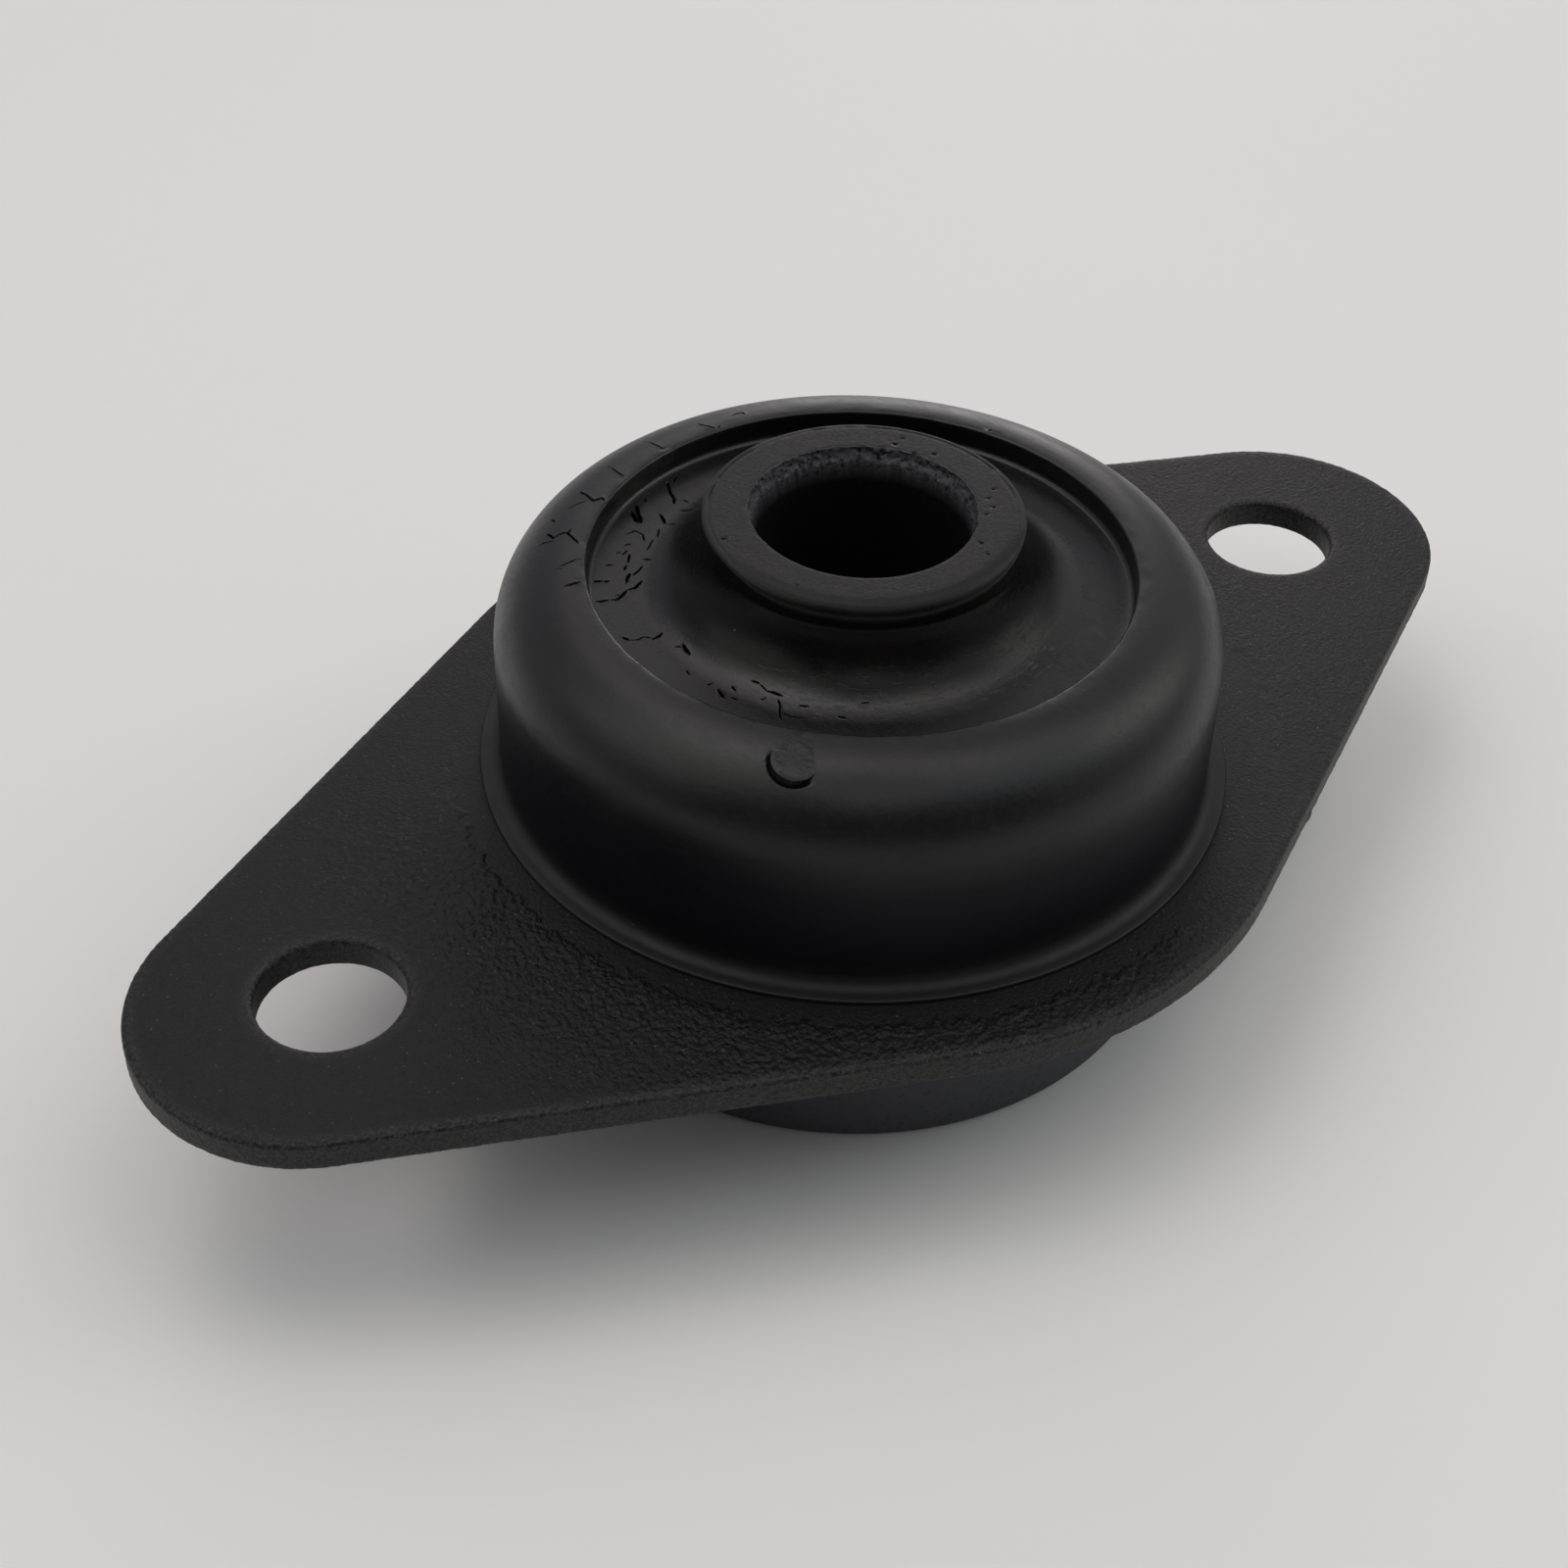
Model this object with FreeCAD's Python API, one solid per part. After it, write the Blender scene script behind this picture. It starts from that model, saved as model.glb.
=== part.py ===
import FreeCAD, Part
import math
import os
from FreeCAD import Vector

# Engine mount: a flat steel flange with two bolt holes, a rubber body moulded through and round it,
# and a steel sleeve that the rubber holds in the middle.
# Millimetres, +Z up. The origin is the centre of the face that the mount stands on, X runs from
# bolt hole to bolt hole, and the sleeve's bore is on the Z axis.

# Flange plate: a blank with two round tips, a round middle and straight sides between them
BOLT_SPACING = 92.8
BOLT_HOLE_D = 10.5
PLATE_THICKNESS = 2.4
TIP_RADIUS = 13.3
TIP_BEYOND_HOLE = 0.95
MIDDLE_RADIUS = 32.4
MIDDLE_BULGE = 1.8
PLATE_OPENING_D = 38.0
PLATE_EDGE_BEVEL = 0.25

# Sleeve: a steel tube over the whole height, with a tapered lead-in at each end of its bore
SLEEVE_D = 22.5
SLEEVE_BORE_D = 15.8
LEAD_IN_WIDTH = 0.45
LEAD_IN_DEPTH = 1.1

# Rubber below the plate: a plain round body with a bevelled bottom edge
LOWER_HEIGHT = 15.0
LOWER_D = 51.1
LOWER_EDGE_BEVEL = 0.6

# Rubber above the plate: a drum with a thin lip round its foot, a round shoulder and a recessed top
DOME_HEIGHT = 17.1
DOME_D = 54.4
DOME_FOOT_BEVEL = 1.0
LIP_WIDTH = 1.6
LIP_THICKNESS = 0.35
CROWN_FLAT = 0.2
RECESS_D = 40.4
RECESS_DEPTH = 1.9
RECESS_EDGE_BEVEL = 0.45

# Boss in the middle of the recess: the rubber sweeps up and ends as a thin skin round the sleeve's end
BOSS_HEIGHT = 21.35
BOSS_SKIN = 0.5
BOSS_SWEEP_RADIUS = 4.1

# Heights and radii that follow from the sizes above
PLATE_BOTTOM = LOWER_HEIGHT
PLATE_TOP = PLATE_BOTTOM + PLATE_THICKNESS
LIP_TOP = PLATE_TOP + LIP_THICKNESS
CROWN = PLATE_TOP + DOME_HEIGHT
RECESS_FLOOR = CROWN - RECESS_DEPTH
BOSS_TOP = PLATE_TOP + BOSS_HEIGHT
SLEEVE_R = SLEEVE_D / 2
BOSS_R = SLEEVE_R + BOSS_SKIN
RECESS_R = RECESS_D / 2
DOME_R = DOME_D / 2
LOWER_R = LOWER_D / 2
OPENING_R = PLATE_OPENING_D / 2
# The shoulder is one round, from the narrow crown beside the recess out to the side
SHOULDER_RADIUS = DOME_R - RECESS_R - RECESS_EDGE_BEVEL - CROWN_FLAT

AXIS = Vector(0, 0, 1)
ORIGIN = Vector(0, 0, 0)


def round_corner(before, corner, after, radius):
    """Start, middle and end of the arc that rounds a corner of an outline."""
    back = (before - corner).normalize()
    ahead = (after - corner).normalize()
    half_angle = back.getAngle(ahead) / 2
    to_centre = (back + ahead).normalize()
    run = radius / math.tan(half_angle)
    centre = corner + to_centre * (radius / math.sin(half_angle))
    return corner + back * run, centre - to_centre * radius, corner + ahead * run


def outline_face(corners):
    """Face in the XZ plane from corners given as (radius from the axis, height, corner radius)."""
    points = [Vector(r, 0, z) for r, z, _ in corners]
    edges = []
    ends = []
    for i, (_, _, radius) in enumerate(corners):
        if radius > 0:
            start, middle, end = round_corner(points[i - 1], points[i], points[(i + 1) % len(points)], radius)
            edges.append(Part.Arc(start, middle, end).toShape())
            ends.append((start, end))
        else:
            ends.append((points[i], points[i]))
    for i, (_, leaves) in enumerate(ends):
        arrives = ends[(i + 1) % len(ends)][0]
        edges.append(Part.LineSegment(leaves, arrives).toShape())
    return Part.Face(Part.Wire(Part.__sortEdges__(edges)))


def flange_outline():
    """Closed outline of the flange: four straight sides, tangent to the tips and to the middle arcs."""
    tip_x = BOLT_SPACING / 2 + TIP_BEYOND_HOLE
    tip = Vector(tip_x, 0, 0)
    middle = Vector(0, MIDDLE_BULGE, 0)
    between = middle - tip
    turn = math.acos((TIP_RADIUS - MIDDLE_RADIUS) / between.Length)
    heading = math.atan2(between.y, between.x) - turn
    outward = Vector(math.cos(heading), math.sin(heading), 0)
    on_tip = tip + outward * TIP_RADIUS
    on_middle = middle + outward * MIDDLE_RADIUS

    def place(point, side, end):
        return Vector(point.x * side, point.y * end, 0)

    edges = []
    for side in (1, -1):
        tip_end = Vector(side * (tip_x + TIP_RADIUS), 0, 0)
        edges.append(Part.Arc(place(on_tip, side, 1), tip_end, place(on_tip, side, -1)).toShape())
        widest = Vector(0, side * (MIDDLE_BULGE + MIDDLE_RADIUS), 0)
        edges.append(Part.Arc(place(on_middle, 1, side), widest, place(on_middle, -1, side)).toShape())
        for end in (1, -1):
            edges.append(Part.LineSegment(place(on_tip, side, end), place(on_middle, side, end)).toShape())
    return Part.Wire(Part.__sortEdges__(edges))


def make_flange_plate():
    """Blanked plate with its two bolt holes and the opening that the rubber goes through."""
    plate = Part.Face(flange_outline()).extrude(AXIS * PLATE_THICKNESS)
    for side in (1, -1):
        centre = Vector(side * BOLT_SPACING / 2, 0, 0)
        plate = plate.cut(Part.makeCylinder(BOLT_HOLE_D / 2, PLATE_THICKNESS, centre))
    flat_edges = [edge for edge in plate.Edges if edge.BoundBox.ZLength < PLATE_THICKNESS / 2]
    plate = plate.makeChamfer(PLATE_EDGE_BEVEL, flat_edges)
    plate = plate.cut(Part.makeCylinder(OPENING_R, PLATE_THICKNESS))
    plate.translate(AXIS * PLATE_BOTTOM)
    return plate


def make_rubber_body():
    """One moulding, turned from its section: below the plate, through its opening and above it."""
    section = outline_face([
        (SLEEVE_R, 0, 0),
        (LOWER_R - LOWER_EDGE_BEVEL, 0, 0),
        (LOWER_R, LOWER_EDGE_BEVEL, 0),
        (LOWER_R, PLATE_BOTTOM, 0),
        (OPENING_R, PLATE_BOTTOM, 0),
        (OPENING_R, PLATE_TOP, 0),
        (DOME_R + LIP_WIDTH, PLATE_TOP, 0),
        (DOME_R + LIP_WIDTH, LIP_TOP, 0),
        (DOME_R + DOME_FOOT_BEVEL, LIP_TOP, 0),
        (DOME_R, LIP_TOP + DOME_FOOT_BEVEL, 0),
        (DOME_R, CROWN, SHOULDER_RADIUS),
        (RECESS_R + RECESS_EDGE_BEVEL, CROWN, 0),
        (RECESS_R, CROWN - RECESS_EDGE_BEVEL, 0),
        (RECESS_R, RECESS_FLOOR, 0),
        (BOSS_R, RECESS_FLOOR, BOSS_SWEEP_RADIUS),
        (BOSS_R, BOSS_TOP, 0),
        (SLEEVE_R, BOSS_TOP, 0),
    ])
    return section.revolve(ORIGIN, AXIS, 360)


def make_centre_sleeve():
    """Tube from the face that the mount stands on to the top of the boss."""
    bore_r = SLEEVE_BORE_D / 2
    section = outline_face([
        (bore_r + LEAD_IN_WIDTH, 0, 0),
        (SLEEVE_R, 0, 0),
        (SLEEVE_R, BOSS_TOP, 0),
        (bore_r + LEAD_IN_WIDTH, BOSS_TOP, 0),
        (bore_r, BOSS_TOP - LEAD_IN_DEPTH, 0),
        (bore_r, LEAD_IN_DEPTH, 0),
    ])
    return section.revolve(ORIGIN, AXIS, 360)


os.makedirs("parts", exist_ok=True)
make_flange_plate().exportStep("parts/flange_plate.step")
make_rubber_body().exportStep("parts/rubber_body.step")
make_centre_sleeve().exportStep("parts/centre_sleeve.step")
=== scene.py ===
import math
from functools import partial

import bmesh
import bpy
from mathutils import Matrix, Vector, noise


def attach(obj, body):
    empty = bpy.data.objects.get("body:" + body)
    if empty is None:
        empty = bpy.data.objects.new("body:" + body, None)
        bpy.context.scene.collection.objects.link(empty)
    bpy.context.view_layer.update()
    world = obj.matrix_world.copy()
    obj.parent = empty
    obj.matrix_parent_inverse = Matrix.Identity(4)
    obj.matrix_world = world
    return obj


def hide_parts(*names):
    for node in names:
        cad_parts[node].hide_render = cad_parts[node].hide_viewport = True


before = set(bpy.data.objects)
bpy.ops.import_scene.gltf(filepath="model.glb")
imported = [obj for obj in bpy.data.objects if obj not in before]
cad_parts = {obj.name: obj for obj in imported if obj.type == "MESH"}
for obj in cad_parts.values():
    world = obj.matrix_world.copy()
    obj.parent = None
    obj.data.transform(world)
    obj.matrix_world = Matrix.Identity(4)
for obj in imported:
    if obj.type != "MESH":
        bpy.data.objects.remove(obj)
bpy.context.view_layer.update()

# A bonded rubber engine mount. Sizes are in millimetres and MM turns them into metres. The mount stands on
# z = 0, its bore runs up the Z axis, and the flange's long way is X.
MM = 0.001

# Flange plate: sheet steel with two round tips, a round middle and straight sides between them
PLATE_BOTTOM = 15.0
PLATE_TOP = 17.4
BOLT_X = 46.4
BOLT_HOLE_R = 5.25
TIP_X = 47.35
TIP_R = 13.3
MIDDLE_Y = 1.8
MIDDLE_R = 32.4
OPENING_R = 19.0
EDGE_ROUND = 0.34

# Sleeve: steel tube over the whole height, its bore's mouth opened and broken by wear
SLEEVE_R = 11.25
BORE_R = 7.9
MOUTH_R = 8.02
BOSS_TOP = 38.75

# Rubber: plain body below the flange, domed body above it with a recess and a boss
LOWER_R = 25.55
LIP_R = 28.8
LIP_TOP = 17.75
DOME_R = 27.2
CROWN = 34.5
RECESS_R = 20.2
RECESS_FLOOR = 32.6
BOSS_R = 11.75

# Gate mark: the round stub left on the shoulder where the rubber was let into the mould
GATE_R = 1.62
GATE_CENTRE = (-17.86, -14.88, 34.33)
GATE_TILT = 17.0
GATE_DIRECTION = -105.0
STUB_DEPTH = 2.0

# Cracks and nicks in the rubber: width, then the points that each runs through. All of them lie above
# CRACKS_ABOVE and further out than CRACKS_BEYOND.
CRACKS_ABOVE = 31.0
CRACKS_BEYOND = 9.0
CRACKS = [
    # on the shoulder
    (0.1, (-3.3, 23.0, 34.0), (-3.2, 21.7, 34.4), (-3.1, 20.7, 34.5), (-2.8, 20.1, 34.2)),
    (0.1, (-7.6, 21.7, 34.1), (-7.8, 20.4, 34.4), (-7.8, 19.6, 34.5), (-7.7, 18.8, 34.3)),
    (0.14, (-11.4, 19.9, 34.2), (-11.4, 19.1, 34.3), (-11.5, 17.9, 34.5), (-10.8, 17.8, 34.5), (-10.8, 17.3, 34.4)),
    (0.08, (-13.5, 18.5, 34.2), (-12.7, 18.5, 34.3), (-11.9, 18.3, 34.4)),
    (0.15, (-16.3, 17.0, 33.9), (-16.4, 16.0, 34.2), (-15.8, 16.0, 34.3), (-15.3, 15.7, 34.4)),
    (0.08, (-17.5, 16.5, 33.6), (-17.0, 16.1, 34.0), (-16.6, 15.6, 34.2)),
    (0.12, (-14.8, 15.9, 34.4), (-15.4, 15.6, 34.4), (-15.5, 14.6, 34.5), (-15.5, 14.0, 34.5)),
    (0.08, (-18.2, 12.5, 34.4), (-17.5, 12.4, 34.5), (-16.8, 12.4, 34.5)),
    (0.14, (-16.7, 12.3, 34.5), (-16.1, 12.3, 34.2)),
    (0.16, (-19.3, 10.2, 34.4), (-18.7, 10.0, 34.5), (-18.2, 9.9, 34.5)),
    (0.09, (-18.5, 12.5, 34.3), (-18.2, 12.0, 34.4)),
    (0.1, (1.3, 22.2, 34.3), (1.5, 21.5, 34.5), (1.8, 20.9, 34.5), (2.0, 20.4, 34.4), (2.4, 20.6, 34.5)),
    (0.1, (4.2, 21.4, 34.4), (4.7, 21.4, 34.4), (5.1, 21.3, 34.4), (5.1, 20.9, 34.5)),
    (0.11, (18.7, 7.8, 34.1), (18.9, 7.6, 34.4), (19.5, 7.7, 34.5)),
    (0.1, (-14.9, 18.6, 33.8), (-15.0, 17.9, 34.0)),
    # in the recess, on its left side
    (0.11, (-8.0, 18.5, 33.2), (-8.3, 18.0, 32.8), (-8.5, 17.2, 32.6)),
    (0.22, (-8.5, 17.2, 32.6), (-8.9, 16.0, 32.6), (-8.7, 15.7, 32.6)),
    (0.2, (-7.7, 17.7, 32.6), (-8.2, 16.8, 32.6), (-8.6, 15.8, 32.6)),
    (0.11, (-6.4, 18.9, 33.0), (-6.5, 18.4, 32.7), (-6.8, 17.8, 32.6)),
    (0.1, (-5.7, 18.7, 32.7), (-6.4, 18.4, 32.6)),
    (0.14, (-3.6, 19.5, 32.8), (-4.1, 18.6, 32.6), (-4.6, 17.6, 32.6), (-4.8, 16.8, 32.6), (-5.2, 16.3, 32.6)),
    (0.1, (-2.8, 19.3, 32.6), (-3.5, 18.7, 32.6)),
    (0.17, (-6.9, 15.7, 32.6), (-7.11, 15.09, 32.61), (-7.35, 14.44, 32.66)),
    (0.13, (-5.37, 15.1, 32.68), (-5.02, 14.5, 32.85), (-4.39, 14.2, 33.04)),
    (0.07, (-4.3, 16.3, 32.6), (-4.25, 15.64, 32.65)),
    (0.07, (-7.27, 14.31, 32.68), (-7.0, 13.72, 32.84), (-6.47, 13.42, 33.02)),
    (0.08, (-8.88, 13.29, 32.69), (-8.13, 14.16, 32.64)),
    (0.08, (-10.44, 12.44, 32.65), (-9.75, 12.94, 32.66), (-9.34, 13.24, 32.65)),
    (0.11, (-11.4, 14.0, 32.6), (-11.0, 13.9, 32.6)),
    (0.15, (-11.34, 11.65, 32.65), (-11.03, 11.11, 32.76)),
    (0.1, (-12.5, 12.0, 32.6), (-11.8, 12.8, 32.6)),
    (0.1, (-13.3, 11.4, 32.6), (-12.8, 11.8, 32.6)),
    (0.15, (-14.1, 10.0, 32.6), (-13.6, 10.5, 32.6), (-13.2, 10.8, 32.6)),
    (0.13, (-14.0, 12.7, 32.6), (-13.6, 12.5, 32.6)),
    (0.12, (-13.1, 10.5, 32.6), (-12.52, 10.67, 32.62), (-11.94, 10.94, 32.66)),
    (0.17, (-16.1, 11.6, 32.8), (-15.7, 11.4, 32.6), (-15.3, 11.2, 32.6)),
    (0.2, (-15.3, 11.0, 32.6), (-15.0, 11.0, 32.6)),
    (0.17, (-17.1, 9.4, 32.6), (-16.9, 9.2, 32.6), (-16.4, 9.1, 32.6)),
    (0.14, (-16.1, 8.9, 32.6), (-15.8, 8.7, 32.6), (-15.2, 8.9, 32.6), (-14.6, 9.2, 32.6)),
    (0.08, (-15.5, 9.2, 32.6), (-15.2, 8.9, 32.6)),
    (0.17, (-14.4, 9.2, 32.6), (-13.91, 9.09, 32.61), (-13.52, 9.27, 32.63), (-13.06, 9.42, 32.67)),
    (0.14, (-18.1, 4.8, 32.6), (-17.9, 4.2, 32.6)),
    (0.08, (-17.9, 4.2, 32.6), (-17.4, 3.9, 32.6), (-16.8, 3.9, 32.6), (-16.5, 3.5, 32.6)),
    (0.15, (-16.5, 3.3, 32.6), (-16.03, 3.26, 32.63), (-15.58, 3.39, 32.7)),
    (0.18, (-15.29, 1.23, 32.85), (-15.46, 0.68, 32.81), (-15.55, 0.1, 32.79)),
    (0.1, (-15.79, 1.48, 32.72), (-15.54, 1.21, 32.78)),
    (0.13, (-16.7, -1.1, 32.6), (-16.8, -1.5, 32.6)),
    (0.07, (-10.4, 15.1, 32.6), (-9.7, 15.1, 32.6), (-9.5, 14.4, 32.6), (-9.9, 13.6, 32.6)),
    (0.07, (-12.6, 13.5, 32.6), (-12.2, 13.5, 32.6)),
    (0.08, (-12.2, 13.1, 32.6), (-11.7, 13.3, 32.6)),
    (0.09, (-2.7, 20.0, 33.4), (-2.7, 19.8, 33.0)),
    # at the foot of the boss, on its front side
    (0.1, (-16.5, -3.2, 32.6), (-16.12, -3.32, 32.62)),
    (0.16, (-16.2, -4.11, 32.61), (-16.3, -4.6, 32.6), (-16.4, -5.1, 32.6)),
    (0.1, (-16.0, -5.4, 32.6), (-15.8, -5.8, 32.6)),
    (0.13, (-15.28, -4.5, 32.7), (-15.35, -4.97, 32.67)),
    (0.13, (-13.98, -5.13, 33.03), (-13.78, -5.63, 33.03)),
    (0.07, (-13.76, -5.81, 33.01), (-13.76, -6.5, 32.9)),
    (0.13, (-13.75, -6.59, 32.89), (-13.47, -7.01, 32.91), (-13.24, -7.58, 32.88)),
    (0.1, (-14.47, -6.88, 32.68), (-14.2, -6.93, 32.73)),
    (0.08, (-13.63, -7.66, 32.77), (-13.86, -8.17, 32.67), (-14.3, -8.7, 32.6), (-14.6, -9.3, 32.6)),
    (0.1, (-12.82, -9.05, 32.75), (-12.44, -9.46, 32.77)),
    (0.07, (-14.2, -8.81, 32.61), (-13.9, -9.5, 32.6), (-13.4, -10.1, 32.6)),
    (0.11, (-11.35, -11.46, 32.67), (-11.04, -11.94, 32.65)),
    (0.08, (-9.38, -11.6, 33.01), (-9.0, -11.83, 33.04)),
]

# The boss's end and the bore's mouth are worn above this height
WORN_ABOVE = 36.2

# Lamps stand this far from the mount, in metres
LAMP_DISTANCE = 1.0


# Small helpers
def colour(code):
    """sRGB hex to the linear colour that the shaders take."""
    parts = [int(code[i:i + 2], 16) / 255 for i in (0, 2, 4)]
    return [c / 12.92 if c <= 0.04045 else ((c + 0.055) / 1.055) ** 2.4 for c in parts] + [1.0]


def clamp(value, low=0.0, high=1.0):
    return max(low, min(high, value))


def ramp(value, start, end):
    """0 before start, 1 after end, smooth between them."""
    t = clamp((value - start) / (end - start))
    return t * t * (3 - 2 * t)


def select_nothing():
    if bpy.context.object and bpy.context.object.mode != "OBJECT":
        bpy.ops.object.mode_set(mode="OBJECT")
    bpy.ops.object.select_all(action="DESELECT")


def work_on(piece):
    """Makes one piece the only selected and active one."""
    select_nothing()
    piece.select_set(True)
    bpy.context.view_layer.objects.active = piece


def pick(piece, faces=None, edges=None):
    """In edit mode, selects the faces or the edges that a test says yes to, and nothing else."""
    bpy.ops.mesh.select_all(action="DESELECT")
    bpy.ops.mesh.select_mode(type="FACE" if faces else "EDGE")
    mesh = bmesh.from_edit_mesh(piece.data)
    for part in (mesh.faces if faces else mesh.edges):
        part.select_set((faces or edges)(part))
    bmesh.update_edit_mesh(piece.data)


def rounded(corners, step):
    """Points along an outline whose corners are (radius, height, corner radius), round corners as arcs."""
    count = len(corners)
    path = []
    for i, (r, z, bend) in enumerate(corners):
        corner = Vector((r, z))
        if bend == 0:
            path.append(corner)
            continue
        back = (Vector(corners[i - 1][:2]) - corner).normalized()
        ahead = (Vector(corners[(i + 1) % count][:2]) - corner).normalized()
        half = back.angle(ahead) / 2
        centre = corner + (back + ahead).normalized() * (bend / math.sin(half))
        first = corner + back * (bend / math.tan(half)) - centre
        last = corner + ahead * (bend / math.tan(half)) - centre
        turn = math.atan2(first.cross(last), first.dot(last))
        arcs = max(3, round(abs(turn) * bend / step))
        for k in range(arcs + 1):
            spin = Matrix.Rotation(turn * k / arcs, 2)
            path.append(centre + spin @ first)
    return path


def filled_in(path, step_at):
    """The same closed path with points added, so that no run is longer than the step wanted there."""
    points = []
    for i, start in enumerate(path):
        end = path[(i + 1) % len(path)]
        runs = max(1, math.ceil((end - start).length / step_at((start + end) / 2)))
        points += [start.lerp(end, k / runs) for k in range(runs)]
    return points


def turned(name, path, steps):
    """Draws a closed outline by extruding one vertex from point to point, and spins it once round Z."""
    select_nothing()
    bpy.ops.mesh.primitive_plane_add(size=0.001)
    piece = bpy.context.object
    piece.name = name
    bpy.ops.object.mode_set(mode="EDIT")
    bpy.ops.mesh.select_mode(type="VERT")
    bpy.ops.mesh.merge(type="CENTER")
    spots = [Vector((p.x, 0, p.y)) * MM for p in path]
    bpy.ops.transform.translate(value=spots[0])
    for start, end in zip(spots, spots[1:] + spots[:1]):
        bpy.ops.mesh.extrude_region_move(TRANSFORM_OT_translate={"value": end - start})
    bpy.ops.mesh.select_all(action="SELECT")
    bpy.ops.mesh.remove_doubles(threshold=0.000001)
    bpy.ops.mesh.spin(steps=steps, angle=math.tau, center=(0, 0, 0), axis=(0, 0, 1))
    bpy.ops.mesh.select_all(action="SELECT")
    bpy.ops.mesh.remove_doubles(threshold=0.000002)
    bpy.ops.mesh.normals_make_consistent(inside=False)
    bpy.ops.object.mode_set(mode="OBJECT")
    return piece


def moved(piece, shift):
    """Moves each vertex along its normal by shift(place), both in mm."""
    mesh = piece.data
    normals = [v.normal.copy() for v in mesh.vertices]
    for vertex, normal in zip(mesh.vertices, normals):
        by = shift(vertex.co / MM)
        if by:
            vertex.co += normal * by * MM
    mesh.update()


def store(piece, name, values):
    """Keeps one value per vertex on the piece, for its material."""
    piece.data.attributes.new(name, "FLOAT", "POINT").data.foreach_set("value", values)


def dress(piece, node, material, angle):
    """Smooth shading, the material, and the CAD node that the piece stands for."""
    work_on(piece)
    bpy.ops.object.shade_smooth_by_angle(angle=math.radians(angle))
    piece.data.materials.clear()
    piece.data.materials.append(material)
    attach(piece, "root")
    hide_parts(node)


# Camera: the lens and the place come from fitting the flange's outline, its holes and the dome's circles
camera = bpy.data.objects.new("camera", bpy.data.cameras.new("camera"))
bpy.context.scene.collection.objects.link(camera)
camera.data.sensor_width = 36
camera.data.lens = 57.4
camera.location = (-0.098267, -0.113478, 0.141095)
camera.rotation_euler = [math.radians(a) for a in (49.4272, -1.2198, -37.8465)]
camera.data.clip_start = 0.005
camera.data.clip_end = 10
bpy.context.scene.camera = camera
bpy.context.scene.view_settings.view_transform = "Standard"


# Materials
def new_material(name):
    material = bpy.data.materials.new(name)
    material.use_nodes = True
    return material


def set_node(node, **settings):
    """Sets a node's own properties, or its inputs by name. An input given another node is linked to the first
    output in use there, and one given an output is linked to that."""
    for key, value in settings.items():
        if hasattr(node, key):
            setattr(node, key, value)
            continue
        socket = next(s for s in node.inputs if s.identifier.replace(" ", "_") == key)
        if isinstance(value, bpy.types.Node):
            value = next(s for s in value.outputs if s.enabled)
        if isinstance(value, bpy.types.NodeSocket):
            node.id_data.links.new(value, socket)
        else:
            socket.default_value = value
    return node


def add_node(material, kind, **settings):
    return set_node(material.node_tree.nodes.new("ShaderNode" + kind), **settings)


def finish(material, **settings):
    """Settings of the material's main shader."""
    set_node(material.node_tree.nodes["Principled BSDF"], **settings)


def patches(size):
    """Scale of a pattern whose patches are about size mm wide."""
    return 1 / (size * MM)


def layered(material, base, layers):
    """The base colour with others laid over it in turn, each by its own share from 0 to 1."""
    tone = colour(base)
    for share, code in layers:
        tone = add_node(material, "Mix", data_type="RGBA", Factor_Float=share, A_Color=tone, B_Color=colour(code))
    return tone


def specks(material, place, size, spread):
    """1 on tiny specks, each size mm wide and about spread mm from the next, and 0 between them."""
    cells = add_node(material, "TexVoronoi", Vector=place, Scale=patches(spread))
    near = add_node(material, "MapRange", Value=cells.outputs["Distance"], To_Min=1, To_Max=0,
                    From_Min=0.35 * size / spread, From_Max=0.6 * size / spread)
    lot = add_node(material, "SeparateColor", Color=cells.outputs["Color"])
    chosen = add_node(material, "Math", operation="GREATER_THAN", Value=lot, Value_001=0.5)
    return add_node(material, "Math", operation="MULTIPLY", Value=near, Value_001=chosen)


# Flat black paint throws back less light than a clean gloss coat, and old rubber a little less
PAINT_SHINE = 0.32
RUBBER_SHINE = 0.5

# Studio board: a matt white sheet whose tone drifts a little, so that it reads as a lit surface. It is a little
# paler to the camera and in reflections than in the light that it throws back under the mount.
floor_paint = new_material("matt_white_board")
add = partial(add_node, floor_paint)
place = add("TexCoord").outputs["Object"]
drift = add("TexNoise", Vector=place, Scale=patches(90))
path = add("LightPath").outputs
seen = add("Math", operation="MAXIMUM", Value=path["Is Camera Ray"], Value_001=path["Is Glossy Ray"])
seen = add("Math", operation="MAXIMUM", Value=seen, Value_001=path["Is Transmission Ray"])
dull = layered(floor_paint, "e2e1e0", [(drift, "e8e6e4")])
pale = layered(floor_paint, "fcfbfa", [(drift, "fefdfb")])
tone = add("Mix", data_type="RGBA", Factor_Float=seen, A_Color=dull, B_Color=pale)
finish(floor_paint, Base_Color=tone, Roughness=0.7)

# Black paint sprayed on sheet steel: lumpy grain with painted shade in its pits, its tops painted lighter along the
# rim as a painted highlight where the paint is also rubbed thin, and light specks of dust and painted glint.
# Smooth where the rubber's mould kept it flat.
plate_paint = new_material("black_paint_on_sheet_steel")
add = partial(add_node, plate_paint)
place = add("TexCoord").outputs["Object"]
coarse = add("Attribute", attribute_name="coarse_paint").outputs["Fac"]
# rim wear, which also carries a painted highlight on the rounded rim
worn = add("Attribute", attribute_name="rim_wear").outputs["Fac"]
fine = add("TexNoise", Vector=place, Scale=patches(0.24), Detail=3, Roughness=0.65)
lumps = add("TexNoise", Vector=place, Scale=patches(0.5), Detail=2, Roughness=0.55)
beads = add("TexVoronoi", Vector=place, Scale=patches(0.42))
beads = add("MapRange", Value=beads, From_Min=0.1, From_Max=0.75, To_Min=0.5, To_Max=0)
lumpy = add("Math", operation="ADD", Value=beads, Value_001=lumps)
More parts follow.
